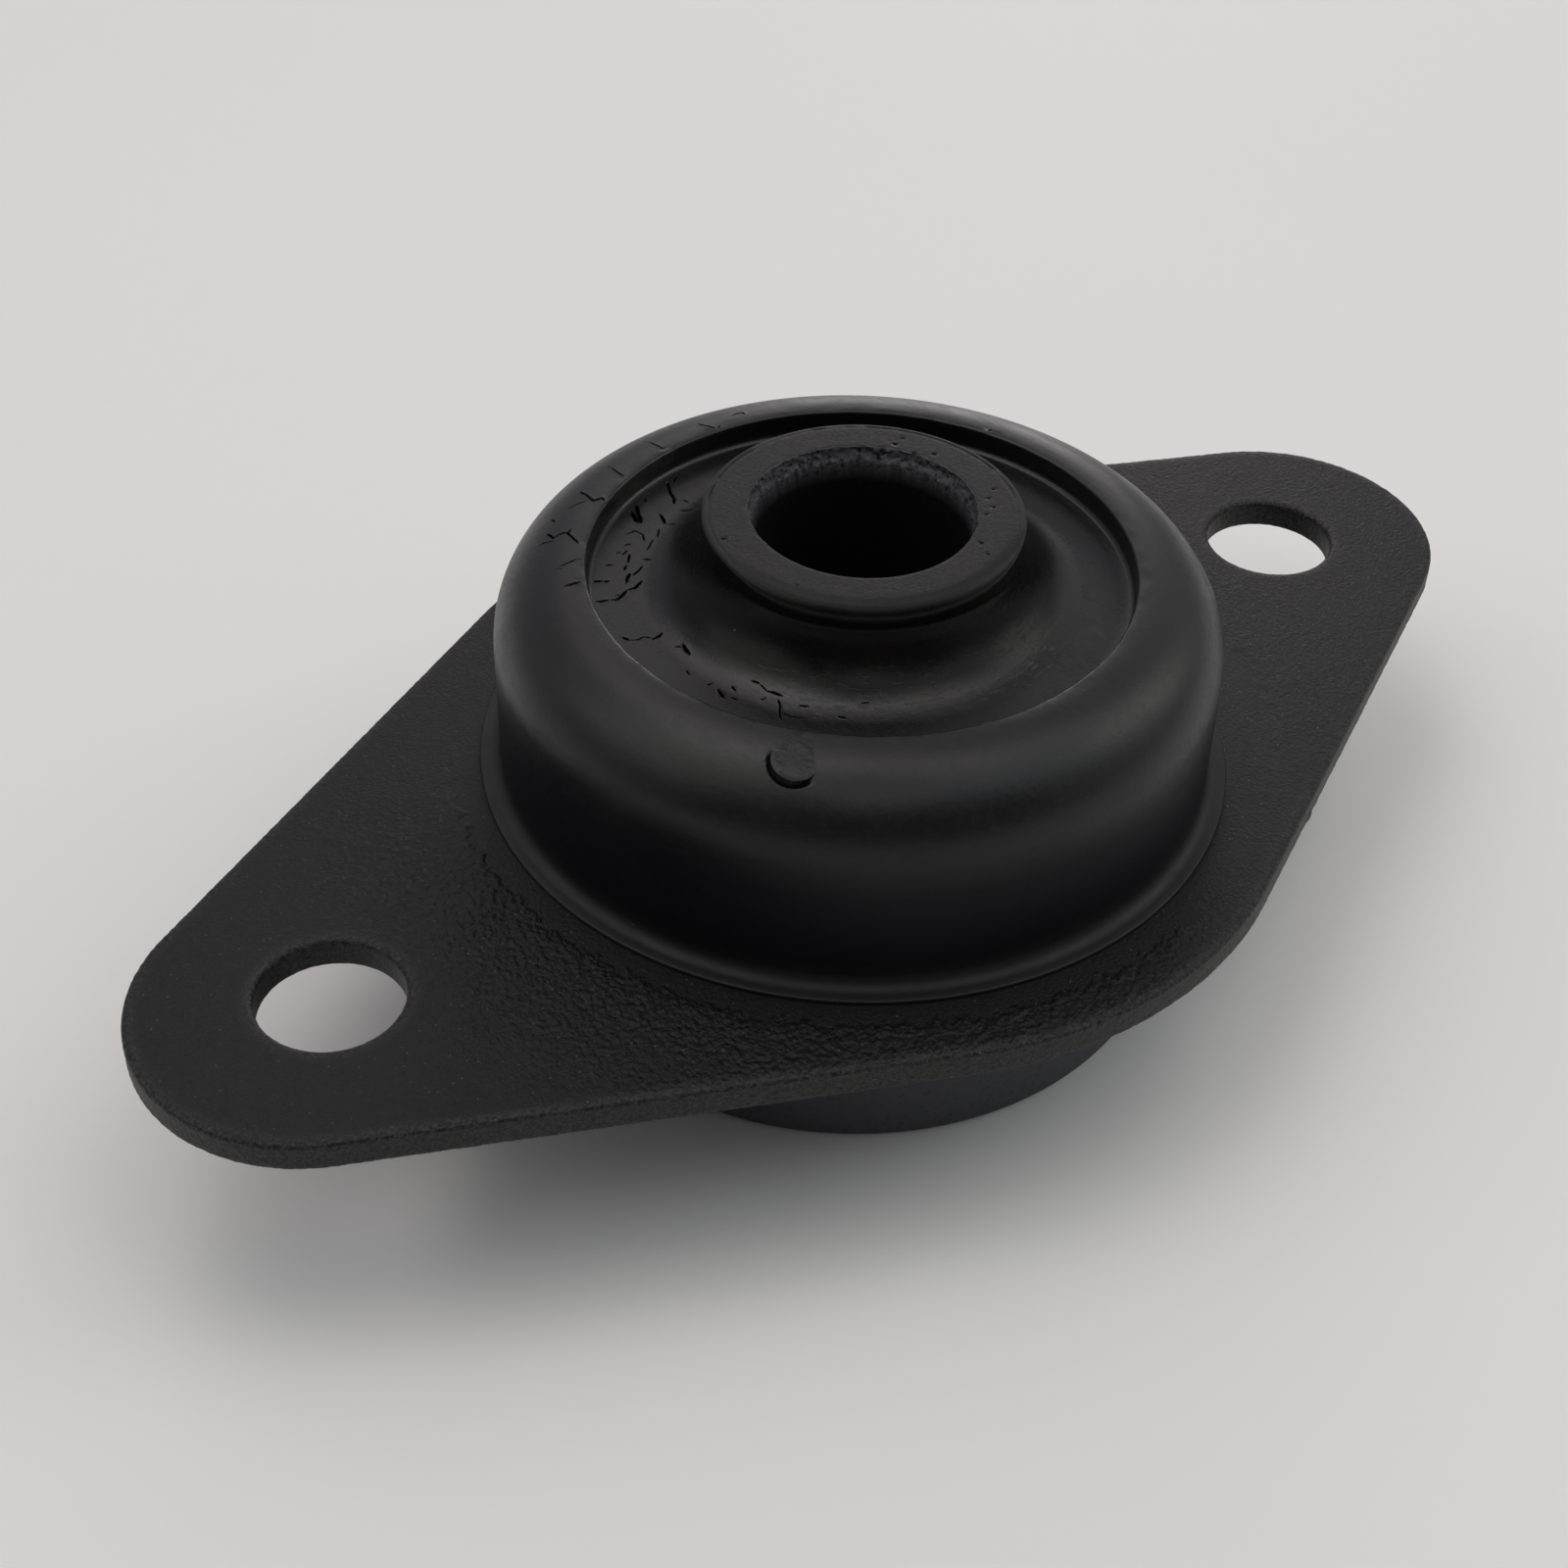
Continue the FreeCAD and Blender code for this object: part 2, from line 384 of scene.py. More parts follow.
lumpy = add("Math", operation="MULTIPLY", Value=lumpy, Value_001=coarse)
height = add("Math", operation="MULTIPLY_ADD", Value=fine, Value_001=0.9, Value_002=lumpy)
# browner towards the right side, and in blotches
sides = add("SeparateXYZ", Vector=place).outputs["X"]
warm = add("MapRange", Value=sides, From_Min=12 * MM, From_Max=40 * MM, To_Max=0.8)
blotches = add("TexNoise", Vector=place, Scale=patches(7))
blotches = add("MapRange", Value=blotches, From_Min=0.45, From_Max=0.7, To_Max=0.35)
warm = add("Math", operation="ADD", Value=warm, Value_001=blotches)
# painted shade in the pits between the lumps, strongest in the coarse paint
pits = add("Math", operation="ADD", Value=coarse, Value_001=0.25)
pits = add("MapRange", Value=lumps, From_Min=0.52, From_Max=0.4, To_Max=pits)
tone = layered(plate_paint, "101012", [
    (warm, "141211"),
    # painted shade in the pits
    (pits, "030304"),
    # grain tops along the rim painted lighter: paint rubbed thin there, and a painted highlight on the rounded edge
    (add("MapRange", Value=fine, From_Min=0.42, From_Max=0.62, To_Max=worn), "3a3837"),
    # light specks: dust, and painted glints on the grain
    (specks(plate_paint, place, 0.13, 0.6), "545256"),
])
rough = add("MapRange", Value=fine, From_Min=0.3, From_Max=0.7, To_Min=0.42, To_Max=0.56)
bump = add("Bump", Height=height, Distance=0.11 * MM, Strength=0.9)
finish(plate_paint, Base_Color=tone, Roughness=rough, Specular_IOR_Level=PAINT_SHINE, Normal=bump)

# Moulded rubber: near black, satin from the mould, browner in clouds towards the boss, with fine scuffs, a little
# dust, and cracks that stay dull and are painted dark as shade in their grooves
moulded_rubber = new_material("moulded_satin_rubber")
add = partial(add_node, moulded_rubber)
place = add("TexCoord").outputs["Object"]
spot = add("SeparateXYZ", Vector=place).outputs
across = add("VectorMath", operation="MULTIPLY", Vector=place, Vector_001=(1, 1, 0))
r = add("VectorMath", operation="LENGTH", Vector=across).outputs["Value"]
cracks_with_shade = add("Attribute", attribute_name="crack_depth").outputs["Fac"]
cracks_with_shade = add("MapRange", Value=cracks_with_shade, From_Min=0.05, From_Max=0.5)
skin = add("TexNoise", Vector=place, Scale=patches(0.35), Detail=3, Roughness=0.6)
cloud = add("TexNoise", Vector=place, Scale=patches(5), Detail=3, Roughness=0.55)
flow = add("Mapping", Vector=place, Scale=(1.0, 0.25, 1.0), Rotation=(0, 0, math.radians(40)))
scuffs = add("TexNoise", Vector=flow, Scale=patches(0.45), Detail=4, Roughness=0.7)
# browner in clouds towards the boss
browner_inward = add("MapRange", Value=r, From_Min=20.5 * MM, From_Max=16.5 * MM)
browner_inward = add("MapRange", Value=cloud, From_Min=0.35, From_Max=0.6, To_Max=browner_inward)
# the front of the sweep is rubbed in short strokes that run round the boss
around = add("Math", operation="ARCTAN2", Value=spot["Y"], Value_001=spot["X"])
around = add("Math", operation="MULTIPLY", Value=around, Value_001=2.5 * MM)
strokes = add("CombineXYZ", X=r, Y=around)
strokes = add("TexNoise", Vector=strokes, Scale=patches(0.22), Detail=3, Roughness=0.6)
front = add("VectorMath", operation="DOT_PRODUCT", Vector=place, Vector_001=(-0.34, -0.94, 0)).outputs["Value"]
rubbed = add("Math", operation="DIVIDE", Value=front, Value_001=r)
rubbed = add("MapRange", Value=rubbed, From_Min=0.45, From_Max=0.75)
rubbed = add("MapRange", Value=r, From_Min=12.5 * MM, From_Max=13.6 * MM, To_Max=rubbed)
rubbed = add("MapRange", Value=r, From_Min=17.2 * MM, From_Max=15.8 * MM, To_Max=rubbed)
strokes = add("MapRange", Value=strokes, From_Min=0.56, From_Max=0.68, To_Max=rubbed)
# the lower body is painted paler, as a painted reflection of the lit floor; the upright side is duller than the
# shoulder and the foot and painted a little lighter, as painted fill light; and the thin skin round the sleeve's
# end took some of its paint
floor_light_paint = add("MapRange", Value=spot["Z"], From_Min=15.5 * MM, From_Max=14.5 * MM)
# the upright side: duller, and painted a little lighter as painted fill light
upright = add("MapRange", Value=spot["Z"], From_Min=31.8 * MM, From_Max=25.8 * MM)
upright = add("MapRange", Value=spot["Z"], From_Min=18.6 * MM, From_Max=19.8 * MM, To_Max=upright)
painted = add("MapRange", Value=spot["Z"], From_Min=38.2 * MM, From_Max=38.6 * MM)
tone = layered(moulded_rubber, "0a0a0b", [
    (browner_inward, "0f0c0a"),
    # the lower body painted paler: painted reflection of the lit floor
    (floor_light_paint, "434449"),
    (add("MapRange", Value=scuffs, From_Min=0.52, From_Max=0.72, To_Max=0.5), "141313"),
    (strokes, "272729"),
    (specks(moulded_rubber, place, 0.2, 6.0), "56545a"),
    # painted shade in the cracks and the gate mark's crevice
    (cracks_with_shade, "030303"),
    (painted, "111011"),
    # the upright side painted lighter: painted fill light
    (upright, "16161b"),
])
rough = add("MapRange", Value=cloud, From_Min=0.3, From_Max=0.7, To_Min=0.24, To_Max=0.31)
for value, start, end, more in [
    (scuffs, 0.45, 0.75, 0.1),
    (r, 20.3 * MM, 20.7 * MM, 0.09),
    (spot["Z"], 30.5 * MM, 28.5 * MM, 0.06),
    (spot["Z"], 20.0 * MM, 18.5 * MM, 0.12),
    (cracks_with_shade, 0, 1, 0.45),
]:
    more = add("MapRange", Value=value, From_Min=start, From_Max=end, To_Max=more)
    rough = add("Math", operation="ADD", Value=rough, Value_001=more)
rough = add("Mix", Factor_Float=painted, A_Float=rough, B_Float=0.48)
# cracks, the upright side and the steep part of the sweep up to the boss shine less, as nothing rubs them
shine = add("MapRange", Value=cracks_with_shade, To_Min=RUBBER_SHINE, To_Max=0.05)
for value, start, end, left in [(upright, 0, 1, 0.28), (r, 15.0 * MM, 13.9 * MM, 0.42)]:
    left = add("MapRange", Value=value, From_Min=start, From_Max=end, To_Min=1, To_Max=left)
    shine = add("Math", operation="MULTIPLY", Value=shine, Value_001=left)
shine = add("Mix", Factor_Float=painted, A_Float=shine, B_Float=PAINT_SHINE)
height = add("Math", operation="MULTIPLY_ADD", Value=scuffs, Value_001=0.8, Value_002=skin)
height = add("Math", operation="MULTIPLY_ADD", Value=strokes, Value_001=-1.2, Value_002=height)
bump = add("Bump", Height=height, Distance=0.012 * MM, Strength=1.0)
finish(moulded_rubber, Base_Color=tone, Roughness=rough, Specular_IOR_Level=shine, Normal=bump)

# Black paint on the sleeve's turned end: thin and even on the flat face, coarse and crusty in the bore's mouth.
# The crust is painted pale, partly as a painted highlight, with painted shade between its lumps; the pits are
# painted near black, for dirt and painted shade.
sleeve_paint = new_material("black_paint_on_steel_tube")
add = partial(add_node, sleeve_paint)
place = add("TexCoord").outputs["Object"]
crust_and_highlight = add("Attribute", attribute_name="mouth_crust").outputs["Fac"]
pit_dirt_and_shade = add("Attribute", attribute_name="pit_share").outputs["Fac"]
fine = add("TexNoise", Vector=place, Scale=patches(0.28), Detail=3, Roughness=0.6)
lumps = add("TexNoise", Vector=place, Scale=patches(0.5), Detail=3, Roughness=0.65)
cloud = add("TexNoise", Vector=place, Scale=patches(4))
crusty = add("Math", operation="MULTIPLY", Value=crust_and_highlight, Value_001=3.0)
height = add("Math", operation="MULTIPLY_ADD", Value=lumps, Value_001=crusty, Value_002=fine)
tone = layered(sleeve_paint, "0f0f11", [
    (add("MapRange", Value=cloud, From_Min=0.35, From_Max=0.65), "131110"),
    (specks(sleeve_paint, place, 0.1, 2.2), "56545a"),
    # the crust painted pale grey: crusty paint, and a painted highlight where the mouth catches the light
    (crust_and_highlight, "4a4a4e"),
    # painted shade between the crust's lumps
    (add("MapRange", Value=lumps, From_Min=0.45, From_Max=0.36, To_Max=crust_and_highlight), "121214"),
    # pits painted near black: dirt in them, and painted shade
    (pit_dirt_and_shade, "020202"),
])
rough = add("MapRange", Value=fine, From_Min=0.3, From_Max=0.7, To_Min=0.42, To_Max=0.55)
shine = add("MapRange", Value=pit_dirt_and_shade, To_Min=PAINT_SHINE, To_Max=0.02)
bump = add("Bump", Height=height, Distance=0.035 * MM, Strength=1.0)
finish(sleeve_paint, Base_Color=tone, Roughness=rough, Specular_IOR_Level=shine, Normal=bump)


# Flange plate
def outline_gap(x, y):
    """Millimetres from a point to the flange's outline (negative inside), and the outward direction there."""
    px, py = abs(x), abs(y)
    along = Vector((-TIP_X, MIDDLE_Y))
    lean = math.atan2(along.y, along.x) - math.acos((TIP_R - MIDDLE_R) / along.length)
    side = Vector((math.cos(lean), math.sin(lean)))
    run = side.x * py - side.y * px
    if run < -side.y * TIP_X:
        away = Vector((px - TIP_X, py))
        gap = away.length - TIP_R
    elif run > side.x * MIDDLE_Y:
        away = Vector((px, py - MIDDLE_Y))
        gap = away.length - MIDDLE_R
    else:
        away = side
        gap = side.dot(Vector((px - TIP_X, py))) - TIP_R
    away = away.normalized()
    return gap, Vector((math.copysign(away.x, x), math.copysign(away.y, y)))


def hole_gap(x, y, centre, radius):
    """The same for a round hole: negative in the metal, and the direction into the hole."""
    away = Vector((centre - x, -y))
    return radius - away.length, away.normalized()


def edge_gap(x, y):
    """Gap and direction to the nearest painted edge: the outline or a bolt hole."""
    bolt_x = math.copysign(BOLT_X, x)
    return max(outline_gap(x, y), hole_gap(x, y, bolt_x, BOLT_HOLE_R), key=lambda found: found[0])


def make_plate():
    """A fine grid cut to the flange's shape, with its edges drawn down as rounded rims to a second face."""
    select_nothing()
    cell = 0.33
    across, deep = 370, 210
    near_opening = OPENING_R + 2
    thick = PLATE_TOP - PLATE_BOTTOM
    straight_down = {"value": (0, 0, -thick * MM)}
    bpy.ops.mesh.primitive_grid_add(x_subdivisions=across, y_subdivisions=deep, size=1)
    plate = bpy.context.object
    plate.name = "flange_sheet"
    bpy.ops.object.mode_set(mode="EDIT")
    bpy.ops.transform.resize(value=(across * cell * MM, deep * cell * MM, 1))
    bpy.ops.transform.translate(value=(0, 0, PLATE_TOP * MM))

    def off_the_sheet(face):
        x, y = face.calc_center_median().xy / MM
        return edge_gap(x, y)[0] > -EDGE_ROUND or math.hypot(x, y) < OPENING_R

    pick(plate, faces=off_the_sheet)
    bpy.ops.mesh.delete(type="FACE")
    mesh = bmesh.from_edit_mesh(plate.data)
    for vertex in mesh.verts:
        if vertex.is_boundary:
            x, y = vertex.co.xy / MM
            if math.hypot(x, y) < near_opening:
                gap, away = hole_gap(x, y, 0, OPENING_R)
                vertex.co.xy += away * -gap * MM
            else:
                gap, away = edge_gap(x, y)
                vertex.co.xy += away * (-EDGE_ROUND - gap) * MM
    bpy.ops.mesh.select_all(action="SELECT")
    bpy.ops.mesh.duplicate_move(TRANSFORM_OT_translate=straight_down)
    bpy.ops.mesh.flip_normals()

    def top_edge(edge):
        return edge.is_boundary and edge.verts[0].co.z > (PLATE_TOP - 0.1) * MM

    # The opening's wall goes straight down, and the outer edge and the bolt holes get rounded rims
    pick(plate, edges=lambda e: top_edge(e) and e.verts[0].co.xy.length < near_opening * MM)
    bpy.ops.mesh.extrude_edges_move(TRANSFORM_OT_translate=straight_down)
    pick(plate, edges=lambda e: top_edge(e) and e.verts[0].co.xy.length > near_opening * MM)
    turns = [math.radians(angle) for angle in (30, 60, 90)]
    arc = [(EDGE_ROUND * (1 - math.sin(a)), EDGE_ROUND * (1 - math.cos(a))) for a in turns]
    wall = [(0, EDGE_ROUND + (thick - 2 * EDGE_ROUND) * k / 6) for k in range(1, 6)]
    rings = arc + wall + [(inset, thick - drop) for inset, drop in reversed(arc)] + [(EDGE_ROUND, thick)]
    for inset, drop in rings:
        bpy.ops.mesh.extrude_edges_move()
        mesh = bmesh.from_edit_mesh(plate.data)
        for vertex in mesh.verts:
            if vertex.select:
                x, y = vertex.co.xy / MM
                gap, away = edge_gap(x, y)
                vertex.co.xy += away * (-inset - gap) * MM
                vertex.co.z = (PLATE_TOP - drop) * MM
        bmesh.update_edit_mesh(plate.data)
    bpy.ops.mesh.select_all(action="SELECT")
    bpy.ops.mesh.remove_doubles(threshold=0.000003)
    bpy.ops.mesh.normals_make_consistent(inside=False)

    # What the rubber covers, and the face towards the floor, need fewer faces, thinned evenly
    def under_rubber(face):
        z = face.calc_center_median().z / MM
        r = face.calc_center_median().xy.length / MM
        return (z > PLATE_TOP - 0.01 and r < LIP_R - 1.5) or (z < PLATE_BOTTOM + 0.01 and r < LOWER_R - 1)

    def underside(face):
        z = face.calc_center_median().z / MM
        return z < PLATE_BOTTOM + 0.01 and face.calc_center_median().xy.length / MM > LOWER_R - 1

    # The coarse paint in front of the dome and the front rim need more
    def finely_lumped(face):
        x, y, z = face.calc_center_median() / MM
        if math.hypot(x, y) < 29.6 or z < PLATE_BOTTOM + 0.2:
            return False
        rim = outline_gap(x, y)[0] > -0.8 and x * 0.66 + y * 0.75 < -4
        return rim or (z > PLATE_TOP - 0.1 and pebbled(x, y) > 0.5)

    pick(plate, faces=under_rubber)
    bpy.ops.mesh.unsubdivide(iterations=3)
    pick(plate, faces=underside)
    bpy.ops.mesh.unsubdivide(iterations=1)
    pick(plate, faces=finely_lumped)
    bpy.ops.mesh.subdivide(number_cuts=1)
    bpy.ops.object.mode_set(mode="OBJECT")
    return plate


def smooth_band(x, y):
    """0 on the smooth band round the dome's foot, 1 where the paint's texture has begun."""
    azimuth = math.degrees(math.atan2(y, x))
    wide = ramp(azimuth, -62, -25) * (1 - ramp(azimuth, 20, 60))
    ragged = noise.noise(Vector((x, y, 3)) * 0.9) * 0.9 + noise.noise(Vector((x, y, 7)) * 2.6) * 0.6
    start = 30.7 + 2.6 * wide + ragged
    return ramp(math.hypot(x, y), start, start + 0.45 + 0.8 * wide)


def pebbled(x, y):
    """How coarse the paint lies: most in front of the dome, less towards the tips and the right side."""
    front = ramp(-(x * 0.74 + y * 0.62), 2, 26)
    near = 1 - ramp(math.hypot(x, y), 34, 50)
    edge = 1 - ramp(-outline_gap(x, y)[0], 0.4, 1.8)
    right = ramp(x, 18, 30)
    return clamp(max(front * near, 0.5 * edge, 0.22 + 0.16 * right))


def lump_height(place, size):
    """Round pebbles of about one size, in their own units: 1 on top, falling to 0 between them."""
    near = noise.voronoi(place / size)[0]
    return clamp(1.15 - 1.5 * near[0] ** 2) * clamp(3 * (near[1] - near[0]))


NICKS = [(-10.6, -34.2, -0.3), (-9.6, -35.0, -0.25), (25.8, -26.0, 0.22), (24.1, -26.5, 0.2)]


def paint_relief(place):
    """Height of the paint over the sheet, in mm."""
    x, y, z = place
    top = z > PLATE_TOP - 0.02
    gap = outline_gap(x, y)[0]
    if not top and math.hypot(x, y) < LOWER_R:
        return 0
    coarse = pebbled(x, y) * smooth_band(x, y) if top else 0.45
    bent = place + Vector((noise.noise(place * 1.7), noise.noise(place * 1.7 + Vector((9, 2, 4))), 0)) * 0.2
    pebbles = lump_height(bent, 0.55) - 0.4 + 0.6 * noise.noise(place * 3.6)
    swell = noise.noise(place * 0.35)
    by = 0.11 * coarse * coarse * pebbles + 0.03 * swell * coarse
    if top:
        by += 0.04 * smooth_band(x, y) * ramp(coarse, 0, 0.4)
    if gap > -EDGE_ROUND - 0.05:
        by = min(-0.016, 0.04 * noise.noise(place * 2.2) + 0.035 * noise.noise(place * 4.5) - 0.035)
        for nick_x, nick_y, out in NICKS:
            near = 1 - ramp(math.hypot(x - nick_x, y - nick_y), 0.1, 0.8)
            by += out * near * (1 - ramp(z, 15.6, 16.6) if out > 0 else 1)
    return by


plate = make_plate()
coarse_share, rim_wear_and_highlight_share = [], []
for vertex in plate.data.vertices:
    x, y, z = vertex.co / MM
    coarse_share.append(pebbled(x, y) * smooth_band(x, y) if z > PLATE_TOP - 0.4 else 0.5)
    rim_wear_and_highlight_share.append((1 - ramp(-edge_gap(x, y)[0], 0.1, 1.3)) * (1.0 if z > PLATE_BOTTOM + 0.3 else 0.3))
moved(plate, paint_relief)
store(plate, "coarse_paint", coarse_share)
store(plate, "rim_wear", rim_wear_and_highlight_share)
dress(plate, "flange_plate", plate_paint, 60)


# Rubber moulding
rubber_outline = rounded([
    (SLEEVE_R, 0, 0),
    (LOWER_R, 0, 0.8),
    (LOWER_R, PLATE_BOTTOM, 0),
    (OPENING_R, PLATE_BOTTOM, 0),
    (OPENING_R, PLATE_TOP, 0),
    (LIP_R, PLATE_TOP, 0),
    (LIP_R, LIP_TOP, 0.15),
    (DOME_R, LIP_TOP, 1.0),
    (DOME_R, CROWN, 6.3),
    (RECESS_R, CROWN, 0.2),
    (RECESS_R, RECESS_FLOOR, 0.45),
    (BOSS_R, RECESS_FLOOR, 5.2),
    (BOSS_R, BOSS_TOP - 0.01, 0.16),
    (SLEEVE_R + 0.12, BOSS_TOP - 0.01, 0),
    (SLEEVE_R + 0.06, BOSS_TOP - 0.01, 0),
    (SLEEVE_R, BOSS_TOP - 0.01, 0),
], 0.25)
rubber = turned("rubber_moulding", filled_in(rubber_outline, lambda p: 0.7 if p.y > PLATE_TOP else 2.5), 240)


def crack_reach(place):
    """Distance from a point to the nearest crack's line, that crack's width, and the run to its nearer end."""
    best = (9.0, 0.1, 0.0)
    for width, *points in CRACKS:
        if (Vector(points[0]) - place).length > 8:
            continue
        spots = [Vector(p) for p in points]
        whole = sum((b - a).length for a, b in zip(spots, spots[1:]))
        passed = 0.0
        for a, b in zip(spots, spots[1:]):
            t = clamp((place - a).dot(b - a) / (b - a).length_squared)
            gap = (place - a.lerp(b, t)).length
            here = passed + t * (b - a).length
            if gap < best[0]:
                best = (gap, width, min(here, whole - here))
            passed += (b - a).length
    return best


def near_cracks(reach):
    """Test for faces whose middle is less than reach mm from a crack."""
    def test(face):
        place = face.calc_center_median() / MM
        if place.z < CRACKS_ABOVE or place.xy.length < CRACKS_BEYOND:
            return False
        return crack_reach(place)[0] < reach
    return test


def gate_place(place):
    """A point's place beside the gate mark: the run from its centre, and how far that is to its left."""
    away = place - Vector(GATE_CENTRE)
    return away.length, away.dot(Vector((-0.93, -0.1, -0.36)))


work_on(rubber)
bpy.ops.object.mode_set(mode="EDIT")
pick(rubber, faces=lambda f: abs(gate_place(f.calc_center_median() / MM)[0] - GATE_R) < 0.7)
bpy.ops.mesh.subdivide(number_cuts=3)
pick(rubber, faces=near_cracks(0.5))
bpy.ops.mesh.subdivide(number_cuts=2)
pick(rubber, faces=near_cracks(0.24))
bpy.ops.mesh.subdivide(number_cuts=2)
bpy.ops.object.mode_set(mode="OBJECT")

# How far each place in a crack has opened, from 0 to 1, by its place before it moves. The rubber is painted darker
# by it, as shade in the cracks and in the crevice round the gate mark.
openness = {}


def rubber_relief(place):
    """Cracks open as narrow grooves with slightly raised lips, a crevice runs round the gate mark's left, and
    the recess's edge is a little uneven."""
    by = 0.0
    r = place.xy.length
    if place.z > 33.6 and abs(r - RECESS_R) < 0.7:
        by += 0.05 * noise.noise(place * 1.1) + 0.03 * noise.noise(place * 3.1)
    run, left = gate_place(place)
    if run < GATE_R + 0.5:
        crevice = ramp(run, GATE_R - 0.3, GATE_R) * (1 - ramp(run, GATE_R + 0.05, GATE_R + 0.4))
        crevice *= ramp(left, 0, 1.1)
        if crevice > 0:
            by -= 0.35 * crevice
            # the crevice is painted darker as well, as shade
            openness[tuple(place)] = 0.5 * crevice
    if place.z > CRACKS_ABOVE and r > CRACKS_BEYOND:
        gap, width, run = crack_reach(place)
        gap += 0.035 * noise.noise(place * 9)
        half = 0.62 * width * (0.35 + 0.65 * ramp(run, 0, 0.35)) + 0.02
        if gap < half:
            deep = 1 - (gap / half) ** 2
            by -= 1.5 * width * deep
            openness[tuple(place)] = deep
        elif gap < 3 * half:
            by += 0.12 * width * (1 - (gap - half) / (2 * half))
    return by


before = [tuple(v.co / MM) for v in rubber.data.vertices]
moved(rubber, rubber_relief)
store(rubber, "crack_depth", [openness.get(spot, 0.0) for spot in before])

# The gate stub is a short disc that grows out of the shoulder, its face left rough where it was cut off
select_nothing()
sunk = (0, 0, -STUB_DEPTH / 2 * MM)
bpy.ops.mesh.primitive_cylinder_add(vertices=64, radius=GATE_R * MM, depth=STUB_DEPTH * MM,
                                    end_fill_type="TRIFAN", location=sunk)
stub = bpy.context.object
bpy.ops.object.mode_set(mode="EDIT")
pick(stub, faces=lambda f: all(v.co.z > 0 for v in f.verts))
bpy.ops.mesh.subdivide(number_cuts=9)
bpy.ops.object.mode_set(mode="OBJECT")
for vertex in stub.data.vertices:
    place = vertex.co / MM
    if place.z > 0.9:
        drawn = Vector((place.x * 1.2 - place.y * 1.0, place.x * 4 + place.y * 5, 1))
        torn = noise.noise(place * 1.1) * 0.6 + noise.noise(drawn) * 0.4
        edge = ramp(place.xy.length, GATE_R - 0.25, GATE_R)
        vertex.co.z += (0.1 * torn - 0.1 * edge) * MM
heading, tilt = math.radians(GATE_DIRECTION), math.radians(GATE_TILT)
lean = Vector((math.cos(heading), math.sin(heading), 0))
up = Vector((0, 0, 1)) * math.cos(tilt) + lean * math.sin(tilt)
turn = up.to_track_quat("Z", "Y").to_matrix().to_4x4()
stub.matrix_world = Matrix.Translation(Vector(GATE_CENTRE) * MM) @ turn @ Matrix.Translation(sunk)
bpy.ops.object.transform_apply(location=True, rotation=True, scale=True)
work_on(rubber)
join_stub = rubber.modifiers.new("stub", "BOOLEAN")
join_stub.operation = "UNION"
join_stub.solver = "EXACT"
join_stub.object = stub
bpy.ops.object.modifier_apply(modifier="stub")
bpy.data.objects.remove(stub)
work_on(rubber)
bpy.ops.object.mode_set(mode="EDIT")
bpy.ops.mesh.select_all(action="SELECT")
bpy.ops.mesh.remove_doubles(threshold=0.000004)
bpy.ops.mesh.fill_holes(sides=12)
bpy.ops.mesh.delete_loose()
bpy.ops.object.mode_set(mode="OBJECT")
dress(rubber, "rubber_body", moulded_rubber, 35)


def worn_front(place):
    """How far the boss's top edge has rounded off, in mm down, on the side towards the gate mark."""
    r = place.xy.length
    towards = (place.x * math.cos(math.radians(-118)) + place.y * math.sin(math.radians(-118))) / r
    over = clamp((r - 10.45) / 1.3)
    return 1.1 * ramp(towards, 0.3, 0.8) * (1 - math.sqrt(1 - over ** 2)) * ramp(place.z, WORN_ABOVE, BOSS_TOP)


def skin_gap(place):
    """How far the skin has drawn back from the sleeve's edge, in mm: a fine broken line, at the back only."""
    if place.z < 38.5 or place.xy.length > SLEEVE_R + 0.09:
        return 0
    azimuth = math.degrees(math.atan2(place.y, place.x))
    back = ramp(azimuth, -30, 0) * (1 - ramp(azimuth, 115, 145))
    return 0.3 * back * ramp(noise.noise(place * 1.3), -0.3, 0.1)


def lowered(piece, drop):
    """Moves each vertex of the worn end straight down by drop(place), both in mm."""
    for vertex in piece.data.vertices:
        if vertex.co.z > WORN_ABOVE * MM:
            vertex.co.z -= drop(vertex.co / MM) * MM
    piece.data.update()


lowered(rubber, lambda place: worn_front(place) + skin_gap(place))

# Steel sleeve
sleeve_outline = rounded([
    (MOUTH_R, 0, 0),
    (SLEEVE_R, 0, 0),
    (SLEEVE_R, BOSS_TOP, 0.02),
    (MOUTH_R, BOSS_TOP, 0.1),
    (BORE_R, BOSS_TOP - 1.1, 0),
    (BORE_R, 1.1, 0),
], 0.06)


def sleeve_step(spot):
    """Longest run between points of the sleeve's outline: finest in the mouth, fine on the face."""
    if spot.y < 36.9:
        return 1.5
    return 0.14 if spot.x < 9.2 else 0.28


sleeve = turned("steel_sleeve", filled_in(sleeve_outline, sleeve_step), 360)

# Pits and chips in the boss's face: place, width and depth
PITS = [
    (9.53, -3.29, 0.27, 0.16), (8.45, -4.01, 0.22, 0.15), (7.98, -5.04, 0.3, 0.16), (6.97, -5.48, 0.2, 0.13),
    (4.31, -7.94, 0.3, 0.18), (3.82, -9.22, 0.2, 0.12), (-10.26, 3.32, 0.28, 0.18), (7.54, 5.61, 0.36, 0.18),
    (7.95, 3.82, 0.42, 0.18), (9.05, 2.86, 0.36, 0.16), (8.53, 5.88, 0.3, 0.14), (-9.46, -4.17, 0.2, 0.12),
]


def pit_depth(place):
    """Depth in mm of the pits and chips at a point of the boss's face."""
    deepest = 0.0
    for pit_x, pit_y, width, depth in PITS:
        away = math.hypot(place.x - pit_x, place.y - pit_y)
        if away < width:
            away += 0.1 * width * noise.noise(place * 6)
            deepest = max(deepest, depth * (1 - ramp(away, 0.2 * width, 0.55 * width)))
    return deepest


